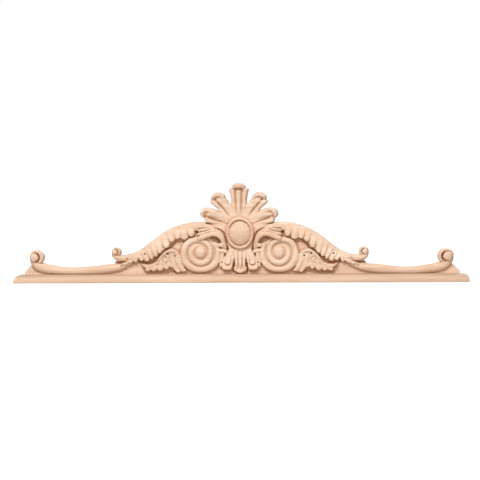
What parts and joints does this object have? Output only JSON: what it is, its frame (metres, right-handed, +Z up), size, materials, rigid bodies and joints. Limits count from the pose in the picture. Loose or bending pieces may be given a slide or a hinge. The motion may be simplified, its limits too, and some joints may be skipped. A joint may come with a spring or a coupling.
{
  "type": "carved wooden applique",
  "caption": "Long carved wooden pediment applique: leafed arch with volutes, a domed medallion under a fan of petals, and scrolled stems on a moulded ledge.",
  "frame": {"origin": "middle of the ledge's flat underside, at half its depth", "axes": "+X to the right along the ledge as seen from the front, +Z up, the carving faces -Y and the flat back faces +Y"},
  "size_m": [1.22, 0.044, 0.2648],
  "materials": {
    "carving": "bare, fine sanded, matt",
    "moulding": "bare, machined and sanded, matt"
  },
  "bodies": {
    "root": {"carved_panel": "carving", "ledge_moulding": "moulding"}
  },
  "joints": []
}
